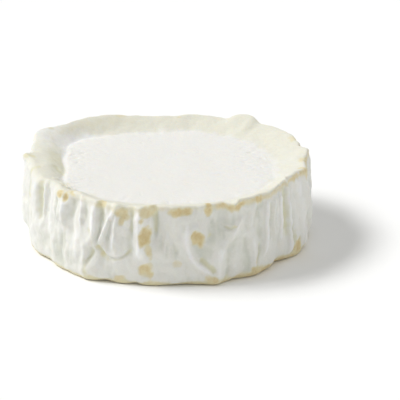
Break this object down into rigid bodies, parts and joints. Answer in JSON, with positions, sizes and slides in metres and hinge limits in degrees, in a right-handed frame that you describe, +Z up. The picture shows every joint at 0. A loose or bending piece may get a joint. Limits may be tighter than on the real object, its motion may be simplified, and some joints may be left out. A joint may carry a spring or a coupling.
{
  "type": "soft cheese wheel",
  "caption": "Round whole soft cheese with a white bloomy rind: raised pleated side, rounded rim and a sunken flat top, lying on its flat base.",
  "frame": {"origin": "centre of the flat base", "axes": "+Z up through the flat top, -Y towards the side that the picture shows, +X to its right"},
  "size_m": [0.1132, 0.1116, 0.0344],
  "materials": {
    "rind": "matte"
  },
  "bodies": {
    "root": {"cheese_wheel": "rind"}
  },
  "joints": []
}
